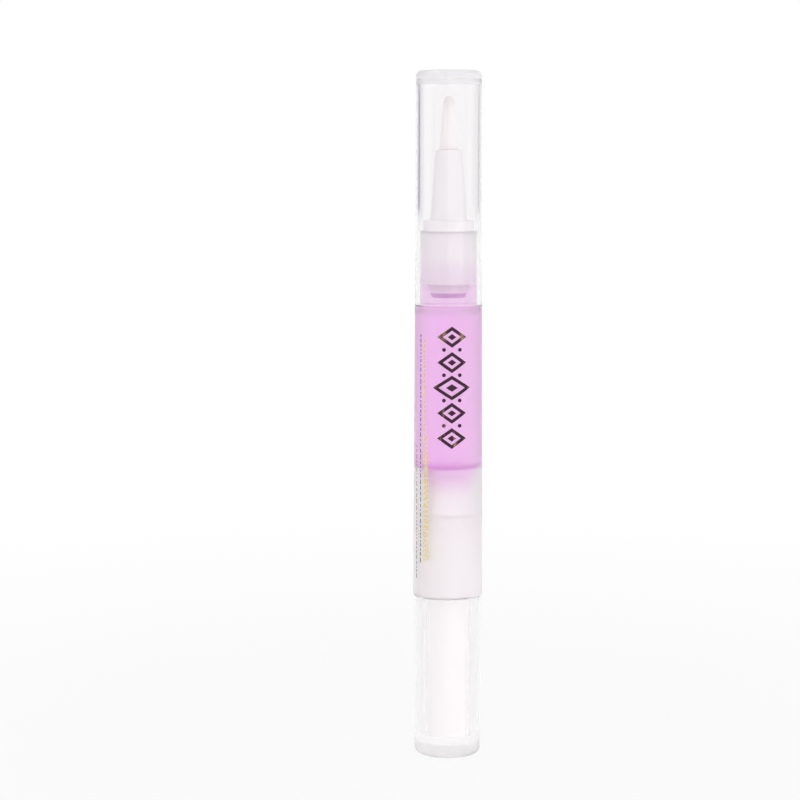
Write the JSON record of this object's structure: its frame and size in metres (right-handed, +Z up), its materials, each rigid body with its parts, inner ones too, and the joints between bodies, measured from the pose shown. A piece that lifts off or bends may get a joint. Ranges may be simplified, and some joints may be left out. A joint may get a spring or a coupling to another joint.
{
  "type": "nail oil pen",
  "caption": "Twist-up nail oil pen standing on its clear knob: capped brush nozzle, frosted barrel of lavender oil, and a screw, nut and ratchet that push a piston.",
  "frame": {"origin": "centre of the knob's foot, on the surface that the pen stands on", "axes": "+Z up the pen's axis from the knob to the cap, +X to the right and +Y away from the viewer in the picture"},
  "size_m": [0.0132, 0.0132, 0.13],
  "materials": {
    "clear_plastic": "clear, polished",
    "frosted_plastic": "frosted, translucent",
    "lavender_oil": "clear tinted oil",
    "piston_plastic": "waxy natural white",
    "white_plastic": "moulded white",
    "tube_plastic": "extruded natural white",
    "filament": "fine nylon filaments"
  },
  "bodies": {
    "barrel": {"barrel": "frosted_plastic", "nozzle": "frosted_plastic", "tuft_collar": "white_plastic", "feed_tube": "tube_plastic", "brush_tuft": "filament", "reservoir_oil": "lavender_oil", "neck_oil": "lavender_oil", "thread_nut": "white_plastic", "ratchet_ring": "white_plastic"},
    "cap": {"cap": "clear_plastic"},
    "knob": {"knob_shell": "clear_plastic", "driver_sleeve": "white_plastic", "click_ring": "white_plastic"},
    "screw": {"lead_screw": "white_plastic"},
    "piston": {"piston": "piston_plastic"}
  },
  "joints": [
    {"name": "cap_pull", "type": "slide", "parent": "barrel", "child": "cap", "axis": [0, 0, 1], "range_m": [0, 0.045]},
    {"name": "knob_turn", "type": "hinge", "parent": "barrel", "child": "knob", "pos_m": [0, 0, 0], "axis": [0, 0, 1], "range_deg": [0, 5040]},
    {"name": "screw_feed", "type": "slide", "parent": "knob", "child": "screw", "axis": [0, 0, 1], "range_m": [0, 0.028]},
    {"name": "piston_feed", "type": "slide", "parent": "barrel", "child": "piston", "axis": [0, 0, 1], "range_m": [0, 0.028], "deforming": ["reservoir_oil"]}
  ],
  "couplings": [
    {"joint": "screw_feed", "follows": "knob_turn", "m_per_rad": 0.00031831},
    {"joint": "piston_feed", "follows": "knob_turn", "m_per_rad": 0.00031831}
  ]
}
